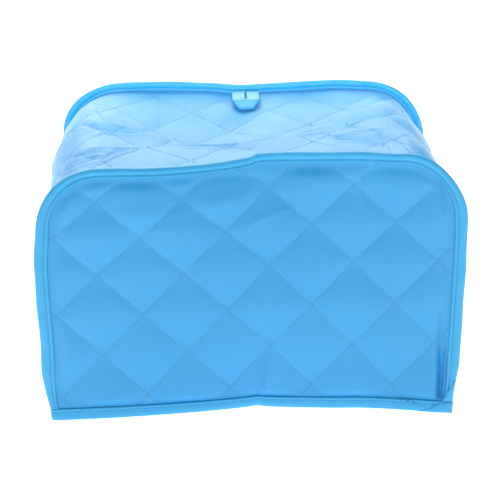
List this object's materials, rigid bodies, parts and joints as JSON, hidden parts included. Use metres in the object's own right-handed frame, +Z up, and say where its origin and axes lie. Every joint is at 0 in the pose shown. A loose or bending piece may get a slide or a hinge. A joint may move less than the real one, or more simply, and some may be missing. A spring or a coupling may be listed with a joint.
{
  "type": "toaster cover",
  "caption": "Quilted cloth toaster cover with round top corners, taped seams and hem, and a tape loop, standing empty on its hem.",
  "frame": {"origin": "under the middle of the cover, on the surface that its hem stands on", "axes": "+X to the right seen from the front, along the cover's width; +Y to the back; +Z up"},
  "size_m": [0.2944, 0.1782, 0.1996],
  "materials": {
    "quilted_cloth": "sky-blue quilted polyester, slight sheen, matching stitches",
    "binding_tape": "sky-blue woven polyester tape, matching stitches"
  },
  "bodies": {
    "root": {"front_panel": "quilted_cloth", "back_panel": "quilted_cloth", "gusset": "quilted_cloth", "front_binding": "binding_tape", "back_binding": "binding_tape", "hem_binding": "binding_tape", "hanging_loop": "binding_tape"}
  },
  "joints": []
}
